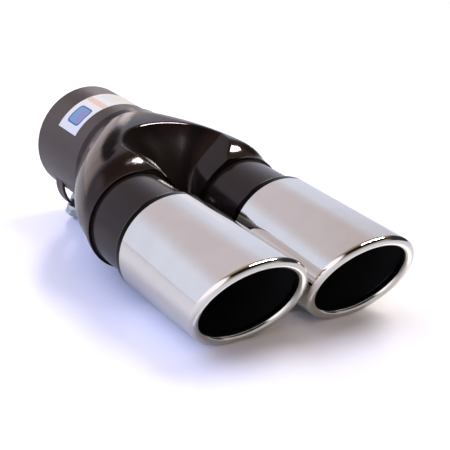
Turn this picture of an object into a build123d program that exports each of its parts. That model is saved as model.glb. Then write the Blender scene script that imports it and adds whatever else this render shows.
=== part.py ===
from build123d import *
import os
from math import acos, cos, degrees, radians, sin, sqrt, tan

# Twin exhaust tip that clamps over a tailpipe. Millimetres, +Z up.
# The origin is the centre of the inlet mouth: the tailpipe enters there towards -Y,
# and the gas leaves through the two polished tips at the -Y end.

# Inlet pipe with a bowed strap lanced from its wall
pipe_diameter = 63.5
pipe_wall = 1.5
pipe_length = 54.0
strap_station = 18.6
strap_width = 8.0
strap_arch_radius = 20.0
strap_angle = 250.0
slit_width = 1.0
slit_half_angle = 40.0

# Clamp bolt, washer and thin nut
thread_diameter = 6.0
thread_clearance = 0.1
bolt_head_flats = 10.0
bolt_head_height = 4.0
bolt_tip_gap = 0.2
bolt_tip_chamfer = 0.6
hex_chamfer = 0.6
hex_chamfer_angle = 30.0
washer_diameter = 12.0
washer_thickness = 1.6
washer_hole = 6.4
nut_flats = 10.0
nut_height = 5.0
seat_gap = 0.05

# Pressed Y-body
body_wall = 1.5
slip_gap = 0.05
neck_length = 5.0
flare_length = 60.0
flare_lead = 0.45
shoulder_share = 0.8
collar_length = 0.6
valley_crotch_setback = 8.0
valley_slope = 1.05
valley_bend = 6.0
valley_bow = 0.54
valley_corner_radius = 1.5
valley_flank_angle = 52.0
valley_side_margin = 1.0
rim_radius = 2.0

# Outlet pipes
outlet_diameter = 50.8
outlet_wall = 1.5
outlet_drop = 4.0
outlet_insertion = 3.0
outlet_reach_in_tip = 24.0
visible_outlet_length = 29.7

# Polished tips: round tube pressed to an oval mouth that is cut on the slant
tip_back_width = 58.2
tip_back_height = 54.8
tip_mouth_width = 64.0
tip_mouth_height = 51.6
tip_gap = 3.2
tip_length = 73.8
tip_wall = 1.2
tip_slant = 22.4
tip_back_radius = 2.0
lip_width = 5.5
lip_fullness = 0.97

# Paper label round the pipe
label_start = 16.8
label_width = 20.0
label_from_angle = 27.0
label_to_angle = 151.0
label_thickness = 0.12
label_gap = 0.02

pipe_radius = pipe_diameter / 2
pipe_bore_radius = pipe_radius - pipe_wall
outlet_radius = outlet_diameter / 2
outlet_spacing = tip_mouth_width + tip_gap
outlet_offset = outlet_spacing / 2
neck_radius = pipe_radius + slip_gap + body_wall
collar_radius = outlet_radius + slip_gap + body_wall
flare_end = pipe_length + flare_length
collar_end = flare_end + collar_length
outlet_start = collar_end - outlet_insertion
tip_start = collar_end + visible_outlet_length
tip_end = tip_start + tip_length

os.makedirs("parts", exist_ok=True)


def across(distance, x=0.0, z=0.0):
    """Plane across the gas flow, a distance in from the inlet mouth, facing the outlets."""
    return Plane(origin=(x, -distance, z), x_dir=(1, 0, 0), z_dir=(0, -1, 0))


# Strap: an arch that stands clear of the pipe by the height of the trapped nut
nut_bearing_radius = nut_flats / 2 - hex_chamfer
arch_inner_radius = strap_arch_radius - pipe_wall
nut_sag = arch_inner_radius - sqrt(arch_inner_radius**2 - nut_bearing_radius**2)
nut_seat = pipe_radius + seat_gap
strap_crown = nut_seat + nut_height + seat_gap + nut_sag + pipe_wall
arch_centre = strap_crown - strap_arch_radius
mid_wall_radius = pipe_radius - pipe_wall / 2
foot_cosine = (pipe_radius**2 - arch_inner_radius**2 + arch_centre**2) / (2 * arch_centre * pipe_radius)
window_half_angle = degrees(acos(foot_cosine))
strap_out = Vector(cos(radians(strap_angle)), 0, sin(radians(strap_angle)))


def strap_plane(distance):
    """Plane across the pipe whose local X runs outwards along the bolt."""
    return Plane(origin=(0, -distance, 0), x_dir=strap_out, z_dir=(0, -1, 0))


def bolt_plane(height):
    """Plane square to the bolt, a height out from the pipe's axis."""
    return Plane(origin=strap_out * height + Vector(0, -strap_station, 0), x_dir=(0, 1, 0), z_dir=strap_out)


def wedge(half_angle):
    """Sector of the pipe, centred on the bolt, that a cut takes out of the wall."""
    reach = 2 * pipe_radius
    rise = reach * tan(radians(half_angle))
    Polygon((0, 0), (reach, -rise), (reach, rise), align=None)


with BuildPart() as inlet_pipe:
    with BuildSketch(across(0)):
        Circle(pipe_radius)
        Circle(pipe_bore_radius, mode=Mode.SUBTRACT)
    extrude(amount=pipe_length)
    with BuildSketch(strap_plane(strap_station - strap_width / 2)):
        wedge(window_half_angle)
    extrude(amount=strap_width, mode=Mode.SUBTRACT)
    with BuildSketch(strap_plane(strap_station - strap_width / 2 - slit_width)):
        wedge(slit_half_angle)
    with BuildSketch(strap_plane(strap_station + strap_width / 2)):
        wedge(slit_half_angle)
    extrude(amount=slit_width, mode=Mode.SUBTRACT)
    with BuildSketch(strap_plane(strap_station - strap_width / 2)):
        with Locations((arch_centre, 0)):
            Circle(strap_arch_radius)
            Circle(arch_inner_radius, mode=Mode.SUBTRACT)
        Circle(mid_wall_radius, mode=Mode.SUBTRACT)
    extrude(amount=strap_width)
    with BuildSketch(bolt_plane(strap_crown)):
        Circle(washer_hole / 2)
    extrude(amount=-2 * pipe_wall, mode=Mode.SUBTRACT)
inlet_pipe.part.label = "inlet_pipe"
export_step(inlet_pipe.part, "parts/inlet_pipe.step")


# Fasteners, stacked outwards from the nut under the strap
washer_seat = strap_crown + seat_gap
head_seat = washer_seat + washer_thickness + seat_gap
bolt_tip = pipe_bore_radius + bolt_tip_gap


def lathe_plane(height):
    """Plane through the bolt's axis: local X runs along the pipe and local Y outwards."""
    seat = bolt_plane(height)
    return Plane(origin=seat.origin, x_dir=seat.x_dir, z_dir=seat.y_dir * -1)


def turned_hexagon(flats, height, inner_chamfer):
    """Half outline that turns off a hexagon's corners at its outer end, and at its inner end if asked."""
    corner_radius = flats / sqrt(3)
    bearing_radius = flats / 2 - hex_chamfer
    lead = (corner_radius - bearing_radius) * tan(radians(hex_chamfer_angle))
    foot = [(bearing_radius, 0), (corner_radius, lead)] if inner_chamfer else [(corner_radius, 0)]
    Polygon((0, 0), *foot, (corner_radius, height - lead), (bearing_radius, height), (0, height), align=None)


with BuildPart() as clamp_nut:
    with BuildSketch(bolt_plane(nut_seat)):
        RegularPolygon(nut_flats / 2, 6, major_radius=False)
        Circle(thread_diameter / 2 + thread_clearance, mode=Mode.SUBTRACT)
    extrude(amount=nut_height)
    with BuildSketch(lathe_plane(nut_seat)):
        turned_hexagon(nut_flats, nut_height, True)
    revolve(axis=Axis(bolt_plane(nut_seat).origin, strap_out), mode=Mode.INTERSECT)
clamp_nut.part.label = "clamp_nut"
export_step(clamp_nut.part, "parts/clamp_nut.step")

with BuildPart() as clamp_washer:
    with BuildSketch(bolt_plane(washer_seat)):
        Circle(washer_diameter / 2)
        Circle(washer_hole / 2, mode=Mode.SUBTRACT)
    extrude(amount=washer_thickness)
clamp_washer.part.label = "clamp_washer"
export_step(clamp_washer.part, "parts/clamp_washer.step")

with BuildPart() as clamp_bolt:
    with BuildSketch(bolt_plane(head_seat)):
        RegularPolygon(bolt_head_flats / 2, 6, major_radius=False)
    extrude(amount=bolt_head_height)
    with BuildSketch(lathe_plane(head_seat)):
        turned_hexagon(bolt_head_flats, bolt_head_height, False)
    revolve(axis=Axis(bolt_plane(head_seat).origin, strap_out), mode=Mode.INTERSECT)
    with BuildSketch(bolt_plane(bolt_tip)):
        Circle(thread_diameter / 2)
    extrude(amount=head_seat - bolt_tip)
    chamfer(clamp_bolt.edges().filter_by(GeomType.CIRCLE).sort_by(Axis.Z)[-1], bolt_tip_chamfer)
clamp_bolt.part.label = "clamp_bolt"
export_step(clamp_bolt.part, "parts/clamp_bolt.step")


# Y-body: the section runs from a circle on the pipe to a slot round both outlets
flare_shares = [0.0, 0.1, 0.2, 0.3, 0.4, 0.5, 0.6, 0.7, 0.8, 0.85, 0.9, 0.95, 1.0]
valley_front = collar_end + body_wall
valley_reach = neck_radius + outlet_drop


def flare_plane(share):
    """Plane across the flare at a share of its length; a shoulder sinks it to the outlets' level."""
    fall = max(0, (share - shoulder_share) / (1 - shoulder_share))
    return across(pipe_length + flare_length * share, z=-outlet_drop * fall**2 * (3 - 2 * fall))


def flare_outline(share, inset):
    """Section of the flare at a share of its length, drawn in by an inset."""
    spread = outlet_offset * share * (1 + flare_lead * (1 - share))
    radius = collar_radius + (neck_radius - collar_radius) * (1 - share**2) - inset
    if spread > 0:
        SlotCenterToCenter(2 * spread, 2 * radius)
    else:
        Circle(radius)


def valley_half_width(height):
    """Half the gap between the lobes at a height over the outlets, opening out along a straight flank."""
    lobe_radius = collar_radius + valley_side_margin
    flank = radians(valley_flank_angle)
    flank_foot = lobe_radius * sin(flank)
    if abs(height) < flank_foot:
        return outlet_offset - sqrt(lobe_radius**2 - height**2)
    return outlet_offset - lobe_radius * cos(flank) + (abs(height) - flank_foot) * tan(flank)


def valley_setback(height):
    """How far behind the collars the valley's rear wall lies at a height over the outlets."""
    return valley_crotch_setback + valley_slope * (sqrt(height**2 + valley_bend**2) - valley_bend)


def valley_outline(height, grow):
    """Level outline of the valley: a bowed rear wall between two straight sides, open forwards."""
    half_width = valley_half_width(height) + grow
    apex = valley_setback(height) - flare_end + grow
    corner = apex - valley_bow * half_width
    rear_wall = ThreePointArc((-half_width, corner), (0, apex), (half_width, corner))
    Polyline(rear_wall @ 1, (half_width, -valley_front), (-half_width, -valley_front), rear_wall @ 0)


def is_rim(edge):
    """True for an edge where the valley breaks through the top or the underside of the flare."""
    box = edge.bounding_box()
    behind_collars = edge.center().Y > -flare_end + body_wall
    clear_of_neck = box.max.Y < -pipe_length - body_wall
    inside_lobes = max(-box.min.X, box.max.X) < outlet_offset - slip_gap
    return behind_collars and clear_of_neck and inside_lobes and box.min.Z * box.max.Z > 0


valley_shares = [-1.1, -0.9, -0.7, -0.5, -0.25, 0.0, 0.25, 0.5, 0.7, 0.9, 1.1]
valley_heights = [share * valley_reach for share in valley_shares]
outlet_sides = {"left": -outlet_offset, "right": outlet_offset}

with BuildPart() as gas_space:
    for share in flare_shares:
        inner_share = share * (1 - body_wall / flare_length)
        with BuildSketch(flare_plane(inner_share)):
            flare_outline(inner_share, body_wall)
    loft()
    for height in valley_heights:
        with BuildSketch(Plane.XY.offset(height - outlet_drop)) as level:
            with BuildLine():
                valley_outline(height, body_wall)
            make_face()
            fillet(level.vertices().group_by(Axis.Y)[-1], valley_corner_radius)
    loft(mode=Mode.SUBTRACT)

with BuildPart() as y_body:
    for share in flare_shares:
        with BuildSketch(flare_plane(share)):
            flare_outline(share, 0)
    loft()
    for height in valley_heights:
        with BuildSketch(Plane.XY.offset(height - outlet_drop)) as level:
            with BuildLine():
                valley_outline(height, 0)
            make_face()
            fillet(level.vertices().group_by(Axis.Y)[-1], valley_corner_radius)
    loft(mode=Mode.SUBTRACT)
    fillet(y_body.edges(Select.LAST).filter_by(is_rim), rim_radius)
    add(gas_space.part, mode=Mode.SUBTRACT)
    with BuildSketch(across(pipe_length - neck_length)):
        Circle(neck_radius)
        Circle(neck_radius - body_wall, mode=Mode.SUBTRACT)
    extrude(amount=neck_length)
    with BuildSketch(across(outlet_start - slip_gap, z=-outlet_drop)):
        with Locations((-outlet_offset, 0), (outlet_offset, 0)):
            Circle(collar_radius - body_wall)
    extrude(amount=outlet_insertion + slip_gap, mode=Mode.SUBTRACT)
    with BuildSketch(across(flare_end, z=-outlet_drop)):
        with Locations((-outlet_offset, 0), (outlet_offset, 0)):
            Circle(collar_radius)
            Circle(collar_radius - body_wall, mode=Mode.SUBTRACT)
    extrude(amount=collar_length)
y_body.part.label = "y_body"
export_step(y_body.part, "parts/y_body.step")


# Outlet pipes: plain tubes from the Y-body's collars into the tips
outlet_length = tip_start + outlet_reach_in_tip - outlet_start
for side, x in outlet_sides.items():
    with BuildPart() as outlet_pipe:
        with BuildSketch(across(outlet_start, x, -outlet_drop)):
            Circle(outlet_radius)
            Circle(outlet_radius - outlet_wall, mode=Mode.SUBTRACT)
        extrude(amount=outlet_length)
    outlet_pipe.part.label = f"outlet_pipe_{side}"
    export_step(outlet_pipe.part, f"parts/outlet_pipe_{side}.step")


# Polished tips: a sleeve drawn in onto the outlet pipe, with a slanted oval mouth and a rolled lip
slant = radians(tip_slant)
slant_stretch = 1 / cos(slant)
lip_radius = lip_fullness * lip_width / (2 * slant_stretch)
lip_depth = 2 * lip_radius * slant_stretch
mouth_half_width = tip_mouth_width / 2
mouth_half_height = tip_mouth_height / 2 * slant_stretch


def mouth_plane(x, setback=0.0):
    """Plane of a tip's mouth, or one set back behind it: its top leans forward over its foot."""
    return Plane(
        origin=(x, setback - tip_end, -outlet_drop),
        x_dir=(1, 0, 0),
        z_dir=(0, -cos(slant), -sin(slant)),
    )


for side, x in outlet_sides.items():
    with BuildPart() as tip_space:
        with BuildSketch(across(tip_start + tip_wall, x, -outlet_drop)):
            Ellipse(tip_back_width / 2 - tip_wall, tip_back_height / 2 - tip_wall)
        with BuildSketch(mouth_plane(x, lip_depth)):
            Ellipse(mouth_half_width - tip_wall, mouth_half_height - tip_wall)
        loft()
        fillet(tip_space.faces().sort_by(Axis.Y)[-1].edges(), tip_back_radius - tip_wall)
    with BuildPart() as tip:
        with BuildSketch(across(tip_start, x, -outlet_drop)):
            Ellipse(tip_back_width / 2, tip_back_height / 2)
        with BuildSketch(mouth_plane(x)):
            Ellipse(mouth_half_width, mouth_half_height)
        loft()
        fillet(tip.faces().sort_by(Axis.Y)[-1].edges(), tip_back_radius)
        fillet(tip.faces().filter_by(GeomType.PLANE).sort_by(Axis.Y)[0].edges(), lip_radius)
        add(tip_space.part, mode=Mode.SUBTRACT)
        with BuildSketch(across(tip_start, x, -outlet_drop)):
            Circle(outlet_radius + slip_gap)
        extrude(amount=tip_back_radius + tip_wall, mode=Mode.SUBTRACT)
        with BuildSketch(mouth_plane(x)):
            Ellipse(mouth_half_width - lip_width, mouth_half_height - lip_width)
        extrude(amount=2 * lip_depth, dir=(0, 1, 0), mode=Mode.SUBTRACT)
        mouth_face = tip.faces().filter_by(GeomType.PLANE).sort_by(Axis.Y)[0]
        fillet(mouth_face.inner_wires()[0].edges(), lip_radius)
    tip.part.label = f"tip_{side}"
    export_step(tip.part, f"parts/tip_{side}.step")


# Paper label wrapped over the top of the pipe
label_inner_radius = pipe_radius + label_gap
label_reach = 3 * pipe_radius
label_angles = [label_from_angle, (label_from_angle + label_to_angle) / 2, label_to_angle]
with BuildPart() as paper_label:
    with BuildSketch(across(label_start)):
        Circle(label_inner_radius + label_thickness)
        Circle(label_inner_radius, mode=Mode.SUBTRACT)
        corners = [(label_reach * cos(radians(a)), label_reach * sin(radians(a))) for a in label_angles]
        Polygon((0, 0), *corners, align=None, mode=Mode.INTERSECT)
    extrude(amount=label_width)
paper_label.part.label = "paper_label"
export_step(paper_label.part, "parts/paper_label.step")
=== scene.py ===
import bpy
import math
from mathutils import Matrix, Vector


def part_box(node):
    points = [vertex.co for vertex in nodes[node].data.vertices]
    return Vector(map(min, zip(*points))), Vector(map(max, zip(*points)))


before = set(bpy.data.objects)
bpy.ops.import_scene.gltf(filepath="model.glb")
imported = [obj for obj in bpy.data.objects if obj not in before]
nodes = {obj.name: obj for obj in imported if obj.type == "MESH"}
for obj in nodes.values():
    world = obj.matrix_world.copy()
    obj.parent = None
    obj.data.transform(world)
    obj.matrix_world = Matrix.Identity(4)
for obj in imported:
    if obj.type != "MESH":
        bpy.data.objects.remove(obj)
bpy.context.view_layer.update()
scene = bpy.context.scene


# Inlet pipe: steel tube with a strap lanced and bowed out of its wall, sprayed satin black.
# The spray leaves a fine orange peel, and its tone and gloss drift a little from place to place.
# Sliding it over a tailpipe has left faint rubbed lines along it.
def new_material(name):
    """Material, its node tree and its Principled shader."""
    material = bpy.data.materials.new(name)
    material.use_nodes = True
    tree = material.node_tree
    return material, tree, tree.nodes["Principled BSDF"]


def new_group(name, floats, colours, results):
    """Empty shader group with named sockets, and the nodes its values come in and go out by."""
    group = bpy.data.node_groups.new(name, "ShaderNodeTree")
    for socket in floats:
        group.interface.new_socket(socket, in_out="INPUT", socket_type="NodeSocketFloat")
    for socket in colours:
        group.interface.new_socket(socket, in_out="INPUT", socket_type="NodeSocketColor")
    for socket, kind in results.items():
        group.interface.new_socket(socket, in_out="OUTPUT", socket_type=kind)
    return group, group.nodes.new("NodeGroupInput"), group.nodes.new("NodeGroupOutput")


def noise(tree, place, scale, detail):
    """Grey noise over a place, in features per metre."""
    texture = tree.nodes.new("ShaderNodeTexNoise")
    texture.inputs["Scale"].default_value = scale
    texture.inputs["Detail"].default_value = detail
    tree.links.new(place, texture.inputs["Vector"])
    return texture.outputs["Fac"]


def stretched(tree, place, scale):
    """The same place with each axis stretched by its own scale, for marks that run one way."""
    mapping = tree.nodes.new("ShaderNodeMapping")
    mapping.inputs["Scale"].default_value = scale
    tree.links.new(place, mapping.inputs["Vector"])
    return mapping.outputs["Vector"]


def eased(tree, value, low, high, to_low=0.0, to_high=1.0):
    """A value eased from one level to another while it runs from low to high."""
    ramp = tree.nodes.new("ShaderNodeMapRange")
    ramp.interpolation_type = "SMOOTHSTEP"
    settings = {"From Min": low, "From Max": high, "To Min": to_low, "To Max": to_high}
    for socket, level in settings.items():
        if isinstance(level, float):
            ramp.inputs[socket].default_value = level
        else:
            tree.links.new(level, ramp.inputs[socket])
    tree.links.new(value, ramp.inputs["Value"])
    return ramp.outputs["Result"]


def blended(tree, share, first, second):
    """Colour mixed from a first to a second one by a share; each may be a tuple or a socket."""
    mix = tree.nodes.new("ShaderNodeMix")
    mix.data_type = "RGBA"
    tree.links.new(share, mix.inputs["Factor"])
    for socket, colour in ((mix.inputs["A"], first), (mix.inputs["B"], second)):
        if isinstance(colour, tuple):
            socket.default_value = (*colour, 1.0)
        else:
            tree.links.new(colour, socket)
    return mix.outputs["Result"]


def reckoned(tree, operation, first, second):
    """One arithmetic step; each of its two values may be a number or a socket."""
    step = tree.nodes.new("ShaderNodeMath")
    step.operation = operation
    for socket, value in zip(step.inputs, (first, second)):
        if isinstance(value, float):
            socket.default_value = value
        else:
            tree.links.new(value, socket)
    return step.outputs["Value"]


spray, spray_in, spray_out = new_group(
    "sprayed_paint",
    floats=("Glossiest", "Dullest", "Rubbed"),
    colours=("Deep Tone", "Dusty Tone"),
    results={"Colour": "NodeSocketColor", "Roughness": "NodeSocketFloat", "Height": "NodeSocketFloat"},
)
spray_place = spray.nodes.new("ShaderNodeTexCoord").outputs["Object"]
spray_drift = noise(spray, spray_place, scale=38.0, detail=5.0)
spray_along = stretched(spray, spray_place, (420.0, 9.0, 420.0))
spray_lines = noise(spray, spray_along, scale=1.0, detail=3.0)
spray_lines = eased(spray, spray_lines, low=0.6, high=0.72)
spray_rub = reckoned(spray, "MULTIPLY", spray_lines, spray_in.outputs["Rubbed"])
spray_dust = noise(spray, spray_place, scale=2600.0, detail=1.0)
spray_dust = eased(spray, spray_dust, low=0.68, high=0.8, to_high=0.35)
spray_light = eased(spray, spray_drift, low=0.3, high=0.7, to_high=0.6)
spray_light = reckoned(spray, "ADD", spray_light, spray_dust)
spray_light = reckoned(spray, "ADD", spray_light, spray_rub)
spray_tone = blended(spray, spray_light, spray_in.outputs["Deep Tone"], spray_in.outputs["Dusty Tone"])
spray_gloss = eased(
    spray,
    spray_drift,
    low=0.3,
    high=0.7,
    to_low=spray_in.outputs["Glossiest"],
    to_high=spray_in.outputs["Dullest"],
)
spray_peel = noise(spray, spray_place, scale=850.0, detail=2.0)
spray.links.new(spray_tone, spray_out.inputs["Colour"])
spray.links.new(spray_gloss, spray_out.inputs["Roughness"])
spray.links.new(spray_peel, spray_out.inputs["Height"])


def sprayed_paint(name, deep_tone, dusty_tone, glossiest, dullest, rubbed, haze):
    """Black spray paint between two tones and two roughnesses, with rubbed lines and a light haze."""
    material, tree, shader = new_material(name)
    shader.inputs["IOR"].default_value = 1.4
    shader.inputs["Specular Tint"].default_value = (1.0, 0.77, 0.74, 1.0)
    shader.inputs["Sheen Weight"].default_value = haze
    shader.inputs["Sheen Roughness"].default_value = 0.35
    shader.inputs["Sheen Tint"].default_value = (1.0, 0.88, 0.85, 1.0)
    paint = tree.nodes.new("ShaderNodeGroup")
    paint.node_tree = spray
    paint.inputs["Deep Tone"].default_value = (*deep_tone, 1.0)
    paint.inputs["Dusty Tone"].default_value = (*dusty_tone, 1.0)
    paint.inputs["Glossiest"].default_value = glossiest
    paint.inputs["Dullest"].default_value = dullest
    paint.inputs["Rubbed"].default_value = rubbed
    peel = tree.nodes.new("ShaderNodeBump")
    peel.inputs["Strength"].default_value = 0.12
    peel.inputs["Distance"].default_value = 0.0001
    tree.links.new(paint.outputs["Colour"], shader.inputs["Base Color"])
    tree.links.new(paint.outputs["Roughness"], shader.inputs["Roughness"])
    tree.links.new(paint.outputs["Height"], peel.inputs["Height"])
    tree.links.new(peel.outputs["Normal"], shader.inputs["Normal"])
    return material


pipe_paint = sprayed_paint(
    "pipe_paint",
    deep_tone=(0.038, 0.03, 0.0235),
    dusty_tone=(0.059, 0.049, 0.041),
    glossiest=0.34,
    dullest=0.44,
    rubbed=0.5,
    haze=0.18,
)
nodes["inlet_pipe"].data.materials[0] = pipe_paint


# Clamp: an M6 hexagon bolt with its washer, turned in a nut that lies under the strap.
# All three are cold-formed steel with a bluish zinc plating that has gone a little cloudy.
bright_zinc = (0.3, 0.39, 0.49)
cloudy_zinc = (0.46, 0.51, 0.54)
zinc, zinc_tree, zinc_shader = new_material("blue_zinc")
zinc_place = zinc_tree.nodes.new("ShaderNodeTexCoord").outputs["Object"]
zinc_cloud = noise(zinc_tree, zinc_place, scale=260.0, detail=4.0)
zinc_grain = noise(zinc_tree, zinc_place, scale=3200.0, detail=2.0)
zinc_tone = blended(zinc_tree, eased(zinc_tree, zinc_cloud, low=0.35, high=0.65), bright_zinc, cloudy_zinc)
zinc_gloss = eased(zinc_tree, zinc_cloud, low=0.3, high=0.7, to_low=0.2, to_high=0.36)
zinc_relief = zinc_tree.nodes.new("ShaderNodeBump")
zinc_relief.inputs["Strength"].default_value = 0.1
zinc_relief.inputs["Distance"].default_value = 0.00005
zinc_shader.inputs["Metallic"].default_value = 1.0
zinc_tree.links.new(zinc_tone, zinc_shader.inputs["Base Color"])
zinc_tree.links.new(zinc_gloss, zinc_shader.inputs["Roughness"])
zinc_tree.links.new(zinc_grain, zinc_relief.inputs["Height"])
zinc_tree.links.new(zinc_relief.outputs["Normal"], zinc_shader.inputs["Normal"])
for name in ("clamp_nut", "clamp_washer", "clamp_bolt"):
    nodes[name].data.materials[0] = zinc


# Y-body: pressed sheet steel with a deep valley between its lobes, sprayed gloss black.
# Its neck slips over the inlet pipe, and the outlet pipes are pressed into its two openings.
body_paint = sprayed_paint(
    "body_paint",
    deep_tone=(0.0032, 0.0022, 0.0018),
    dusty_tone=(0.008, 0.006, 0.005),
    glossiest=0.085,
    dullest=0.12,
    rubbed=0.0,
    haze=0.05,
)
nodes["y_body"].data.materials[0] = body_paint


# Outlet pipes: two short steel tubes between the Y-body and the tips, sprayed satin black.
# One end is pressed into the Y-body's collar, and the other reaches inside the tip.
outlet_paint = sprayed_paint(
    "outlet_paint",
    deep_tone=(0.0055, 0.0035, 0.003),
    dusty_tone=(0.012, 0.009, 0.0078),
    glossiest=0.15,
    dullest=0.22,
    rubbed=0.15,
    haze=0.08,
)
for name in ("outlet_pipe_left", "outlet_pipe_right"):
    nodes[name].data.materials[0] = outlet_paint


# Tips: stainless tube pressed oval, cut on the slant, rolled in at the mouth and polished bright.
# Behind the rolled lip the inside is painted black as shade, and a narrow band at the back is painted
# black as the dark reflection of the pipe behind it.
tip_low, tip_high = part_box("tip_left")
tip_axis_x = abs(tip_low.x + tip_high.x) / 2
tip_axis_z = (tip_low.z + tip_high.z) / 2
mouth_slant = math.radians(22.4)
mouth_y = tip_low.y + (tip_high.z - tip_axis_z) * math.tan(mouth_slant)
# Painted shade: the inner wall deeper than the rolled lip is made matt black and not metallic.
inner_shade_edge = 0.0045
inner_shade_fade = 0.0015
inner_shade_black = (0.0025, 0.0022, 0.002)
# Painted reflection: the rear band of the tip is near-black metal, for the dark pipe and body it mirrors.
painted_band_width = 0.005
painted_band_black = (0.0012, 0.001, 0.001)
clean_steel = (0.87, 0.845, 0.8)
handled_steel = (0.83, 0.805, 0.765)
polished, polished_tree, polished_shader = new_material("polished_tip")
tip_frame = polished_tree.nodes.new("ShaderNodeTexCoord")
tip_place = polished_tree.nodes.new("ShaderNodeSeparateXYZ")
tip_normal = polished_tree.nodes.new("ShaderNodeSeparateXYZ")
polished_tree.links.new(tip_frame.outputs["Object"], tip_place.inputs["Vector"])
polished_tree.links.new(tip_frame.outputs["Normal"], tip_normal.inputs["Vector"])


def tip_step(operation, first, second=0.0):
    return reckoned(polished_tree, operation, first, second)


side = tip_step("SIGN", tip_place.outputs["X"])
out_x = tip_step("SUBTRACT", tip_step("ABSOLUTE", tip_place.outputs["X"]), tip_axis_x)
out_z = tip_step("SUBTRACT", tip_place.outputs["Z"], tip_axis_z)
facing_x = tip_step("MULTIPLY", tip_step("MULTIPLY", tip_normal.outputs["X"], side), out_x)
facing_z = tip_step("MULTIPLY", tip_normal.outputs["Z"], out_z)
inner_wall = tip_step("LESS_THAN", tip_step("ADD", facing_x, facing_z), 0.0)
behind_y = tip_step("SUBTRACT", tip_place.outputs["Y"], mouth_y)
behind_y = tip_step("MULTIPLY", behind_y, math.cos(mouth_slant))
behind_mouth = tip_step("ADD", behind_y, tip_step("MULTIPLY", out_z, math.sin(mouth_slant)))
# Painted shade inside the tip, fading in behind the slanted mouth.
deep_inside = eased(polished_tree, behind_mouth, inner_shade_edge, inner_shade_edge + inner_shade_fade)
painted_inner_shade = tip_step("MULTIPLY", inner_wall, deep_inside)
# Painted reflection band at the back edge of the tip.
painted_dark_band = tip_step("GREATER_THAN", tip_place.outputs["Y"], tip_high.y - painted_band_width)
smudge = noise(polished_tree, tip_frame.outputs["Object"], scale=55.0, detail=4.0)
round_tip = stretched(polished_tree, tip_frame.outputs["Object"], (40.0, 2600.0, 40.0))
buffing = noise(polished_tree, round_tip, scale=1.0, detail=2.0)
handled = eased(polished_tree, smudge, low=0.3, high=0.7)
tip_colour = blended(polished_tree, handled, clean_steel, handled_steel)
tip_colour = blended(polished_tree, painted_inner_shade, tip_colour, inner_shade_black)
tip_colour = blended(polished_tree, painted_dark_band, tip_colour, painted_band_black)
tip_gloss = eased(polished_tree, smudge, low=0.35, high=0.75, to_low=0.035, to_high=0.075)
tip_relief = polished_tree.nodes.new("ShaderNodeBump")
tip_relief.inputs["Strength"].default_value = 0.03
tip_relief.inputs["Distance"].default_value = 0.00002
polished_tree.links.new(buffing, tip_relief.inputs["Height"])
polished_tree.links.new(tip_relief.outputs["Normal"], polished_shader.inputs["Normal"])
polished_tree.links.new(tip_colour, polished_shader.inputs["Base Color"])
polished_tree.links.new(tip_step("SUBTRACT", 1.0, painted_inner_shade), polished_shader.inputs["Metallic"])
polished_tree.links.new(tip_step("MAXIMUM", tip_gloss, painted_inner_shade), polished_shader.inputs["Roughness"])
for name in ("tip_left", "tip_right"):
    nodes[name].data.materials[0] = polished


# Label: a strip of white paper stuck round the top of the inlet pipe.
# It carries plain printed fields: a blue block, a pale orange stripe and rows of pale grey bars.
label_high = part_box("paper_label")[1]
label_radius = 0.0318
label_left_end = math.radians(151.0)
millimetre = 0.001
corner_squareness = 6.0
bar_half_height = 0.7
white_paper = (0.59, 0.575, 0.52)
shaded_paper = (0.55, 0.535, 0.485)
border_blue = (0.04, 0.1, 0.2)
block_blue = (0.13, 0.23, 0.36)
dash_violet = (0.24, 0.16, 0.28)
stripe_orange = (0.57, 0.4, 0.31)
bar_grey = (0.46, 0.47, 0.5)
paper, paper_tree, paper_shader = new_material("label_paper")
label_frame = paper_tree.nodes.new("ShaderNodeTexCoord")
label_place = paper_tree.nodes.new("ShaderNodeSeparateXYZ")
paper_tree.links.new(label_frame.outputs["Object"], label_place.inputs["Vector"])


def label_step(operation, first, second=0.0):
    return reckoned(paper_tree, operation, first, second)


turn = label_step("ARCTAN2", label_place.outputs["Z"], label_place.outputs["X"])
along = label_step("MULTIPLY", label_step("SUBTRACT", label_left_end, turn), label_radius / millimetre)
across = label_step("DIVIDE", label_step("SUBTRACT", label_high.y, label_place.outputs["Y"]), millimetre)


def printed_field(paper_colour, centre, half_size, colour):
    """Paper colour with one plain round-cornered field printed on it; centre and size in mm."""
    reach = 0.0
    for distance, middle, half in zip((along, across), centre, half_size):
        share = label_step("DIVIDE", label_step("SUBTRACT", distance, middle), half)
        share = label_step("POWER", label_step("ABSOLUTE", share), corner_squareness)
        reach = label_step("ADD", share, reach)
    return blended(paper_tree, label_step("LESS_THAN", reach, 1.0), paper_colour, colour)


fibre = noise(paper_tree, label_frame.outputs["Object"], scale=1800.0, detail=3.0)
printed = blended(paper_tree, eased(paper_tree, fibre, low=0.3, high=0.7), white_paper, shaded_paper)
printed = printed_field(printed, centre=(11.5, 10.5), half_size=(6.6, 6.4), colour=border_blue)
printed = printed_field(printed, centre=(11.5, 10.5), half_size=(5.6, 5.4), colour=block_blue)
printed = printed_field(printed, centre=(11.5, 12.6), half_size=(4.4, 1.7), colour=dash_violet)
printed = printed_field(printed, centre=(24.5, 10.0), half_size=(2.0, 9.6), colour=stripe_orange)
for column, half_length in ((35.0, 5.0), (50.0, 6.0)):
    for row in (4.0, 7.5, 11.0, 14.5):
        printed = printed_field(printed, (column, row), (half_length, bar_half_height), bar_grey)
paper_gloss = eased(paper_tree, fibre, low=0.3, high=0.7, to_low=0.5, to_high=0.65)
paper_relief = paper_tree.nodes.new("ShaderNodeBump")
paper_relief.inputs["Strength"].default_value = 0.15
paper_relief.inputs["Distance"].default_value = 0.00005
paper_tree.links.new(fibre, paper_relief.inputs["Height"])
paper_tree.links.new(paper_relief.outputs["Normal"], paper_shader.inputs["Normal"])
paper_tree.links.new(printed, paper_shader.inputs["Base Color"])
paper_tree.links.new(paper_gloss, paper_shader.inputs["Roughness"])
nodes["paper_label"].data.materials[0] = paper


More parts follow.
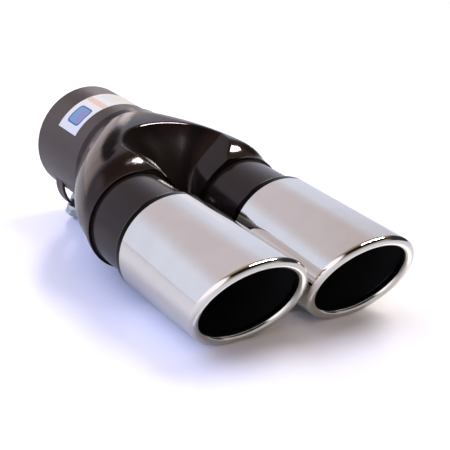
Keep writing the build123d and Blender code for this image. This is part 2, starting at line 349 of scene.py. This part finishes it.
# Floor: a pale glossy table top, on which the part lies on its clamp bolt and the front of both tips.
# So it slopes a little against the pipe. It is clear from below, so that it hides nothing there.
bolt_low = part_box("clamp_bolt")[0]
bolt_station = -0.0186
tip_station = -0.206
tip_contact = tip_low.z + 0.0017
slope = (tip_contact - bolt_low.z) / (tip_station - bolt_station)
seen_white = (0.89, 0.9, 0.97)
mirrored_white = (0.53, 0.545, 0.56)
bpy.ops.object.select_all(action="DESELECT")
bpy.ops.mesh.primitive_plane_add(size=8.0)
floor = bpy.context.object
floor.name = "floor"
floor.rotation_euler = (math.atan(slope), 0.0, 0.0)
floor.location = (0.0, bolt_station, bolt_low.z)
floor_white, floor_tree, floor_shader = new_material("floor_white")
floor_rays = floor_tree.nodes.new("ShaderNodeLightPath")
floor_tone = blended(floor_tree, floor_rays.outputs["Is Camera Ray"], mirrored_white, seen_white)
floor_tree.links.new(floor_tone, floor_shader.inputs["Base Color"])
floor_shader.inputs["Roughness"].default_value = 0.28
floor_shader.inputs["IOR"].default_value = 1.5
floor_face = floor_tree.nodes.new("ShaderNodeNewGeometry")
floor_clear = floor_tree.nodes.new("ShaderNodeBsdfTransparent")
floor_mix = floor_tree.nodes.new("ShaderNodeMixShader")
floor_tree.links.new(floor_face.outputs["Backfacing"], floor_mix.inputs["Fac"])
floor_tree.links.new(floor_shader.outputs["BSDF"], floor_mix.inputs[1])
floor_tree.links.new(floor_clear.outputs["BSDF"], floor_mix.inputs[2])
floor_tree.links.new(floor_mix.outputs["Shader"], floor_tree.nodes["Material Output"].inputs["Surface"])
floor.data.materials.append(floor_white)


# Light: a bright wall stands behind the part, and the room in front of it and above it is dark.
# One soft lamp high on the right casts the shadow, and violet daylight fills it from the left.
# A narrow strip lamp overhead draws the white line along the rim of the valley.
world = bpy.data.worlds.new("room")
scene.world = world
world.use_nodes = True
room = world.node_tree
room.nodes.clear()
compass = room.nodes.new("ShaderNodeTexCoord")
direction = room.nodes.new("ShaderNodeSeparateXYZ")
room.links.new(compass.outputs["Generated"], direction.inputs["Vector"])
right, back, up = (direction.outputs[axis] for axis in "XYZ")


def facing(centre, full, faded):
    """Share of a soft round patch of the room, full and faded at these angles from its centre."""
    toward = room.nodes.new("ShaderNodeVectorMath")
    toward.operation = "DOT_PRODUCT"
    toward.inputs[1].default_value = centre
    room.links.new(compass.outputs["Generated"], toward.inputs[0])
    inner, outer = (math.cos(math.radians(angle)) for angle in (full, faded))
    return eased(room, toward.outputs["Value"], outer, inner)


lower_wall = (0.74, 0.775, 0.93)
upper_wall = (0.63, 0.575, 0.63)
lit_wall = (1.5, 1.3, 1.3)
pale_screen = (1.0, 0.93, 0.98)
window = (3.0, 2.65, 2.7)
black_screen = (0.05, 0.045, 0.045)
wall = blended(room, eased(room, up, low=0.42, high=0.66), lower_wall, upper_wall)
wall = blended(room, eased(room, back, low=0.8, high=0.95), wall, lit_wall)
wall = blended(room, facing((0.5, 0.84, 0.21), full=5.0, faded=13.0), wall, pale_screen)
wall = blended(room, facing((0.42, 0.86, 0.28), full=4.0, faded=9.0), wall, window)
screened = facing((0.15, 0.87, 0.47), full=9.0, faded=16.0)
screened = reckoned(room, "MULTIPLY", screened, eased(room, back, low=0.8, high=0.85))
wall = blended(room, screened, wall, black_screen)

grey_end = (0.42, 0.4, 0.41)
black_ceiling = (0.012, 0.01, 0.009)
brown_ceiling = (0.36, 0.25, 0.17)
dark_right = (0.03, 0.03, 0.028)
bright_left = (1.2, 1.12, 1.2)
far_end = blended(room, eased(room, up, low=0.3, high=0.6), grey_end, black_ceiling)
dark_side = blended(room, eased(room, back, low=-0.16, high=0.14), far_end, brown_ceiling)
dark_side = blended(room, eased(room, right, low=0.7, high=0.85), dark_side, dark_right)
near_side = blended(room, eased(room, right, low=-0.62, high=-0.42), bright_left, dark_side)
mirrored = blended(room, eased(room, back, low=0.48, high=0.72), near_side, wall)

violet_side = (1.85, 2.1, 3.3)
warm_side = (0.77, 0.61, 0.36)
violet_front = (1.95, 2.15, 3.4)
brown_front = (0.58, 0.39, 0.13)
sides = blended(room, eased(room, right, low=-0.6, high=0.2), violet_side, warm_side)
front = blended(room, eased(room, right, low=-0.9, high=-0.4), violet_front, brown_front)
daylight = blended(room, eased(room, back, low=-0.5, high=0.3), front, sides)

glow = room.nodes.new("ShaderNodeBackground")
fill = room.nodes.new("ShaderNodeBackground")
plain = room.nodes.new("ShaderNodeBackground")
plain.inputs["Color"].default_value = (1.0, 1.0, 1.0, 1.0)
rays = room.nodes.new("ShaderNodeLightPath")
lit = room.nodes.new("ShaderNodeMixShader")
seen = room.nodes.new("ShaderNodeMixShader")
room_out = room.nodes.new("ShaderNodeOutputWorld")
room.links.new(mirrored, glow.inputs["Color"])
room.links.new(daylight, fill.inputs["Color"])
room.links.new(rays.outputs["Is Glossy Ray"], lit.inputs["Fac"])
room.links.new(fill.outputs["Background"], lit.inputs[1])
room.links.new(glow.outputs["Background"], lit.inputs[2])
room.links.new(rays.outputs["Is Camera Ray"], seen.inputs["Fac"])
room.links.new(lit.outputs["Shader"], seen.inputs[1])
room.links.new(plain.outputs["Background"], seen.inputs[2])
room.links.new(seen.outputs["Shader"], room_out.inputs["Surface"])

lamp = bpy.data.lights.new("lamp_right", "AREA")
lamp.shape = "DISK"
lamp.size = 0.8
lamp.energy = 11.0
lamp_stand = bpy.data.objects.new("lamp_right", lamp)
scene.collection.objects.link(lamp_stand)
lamp_stand.visible_glossy = False
lamp_stand.location = (0.73, -0.05, 1.08)
lamp_stand.rotation_euler = (0.0, math.radians(34.0), 0.0)

strip = bpy.data.lights.new("lamp_strip", "AREA")
strip.shape = "RECTANGLE"
strip.size = 1.5
strip.size_y = 0.19
strip.energy = 96.0
strip_stand = bpy.data.objects.new("lamp_strip", strip)
scene.collection.objects.link(strip_stand)
strip_stand.visible_diffuse = False
strip_stand.location = (0.841, -0.29, 1.833)
strip_stand.rotation_euler = [math.radians(angle) for angle in (12.4, 22.7, 15.6)]


# Camera: stands in front of the tips, to their left and a little above them, as in the photograph.
# Its long lens keeps the near and the far tip close to the same size.
camera_lens = bpy.data.cameras.new("camera")
camera_lens.sensor_width = 36.0
camera_lens.lens = 92.47
camera = bpy.data.objects.new("camera", camera_lens)
scene.collection.objects.link(camera)
camera.location = (-0.33226, -0.58062, 0.22578)
camera.rotation_euler = [math.radians(angle) for angle in (67.5194, -6.1552, -34.9564)]
scene.camera = camera
scene.view_settings.view_transform = "Standard"
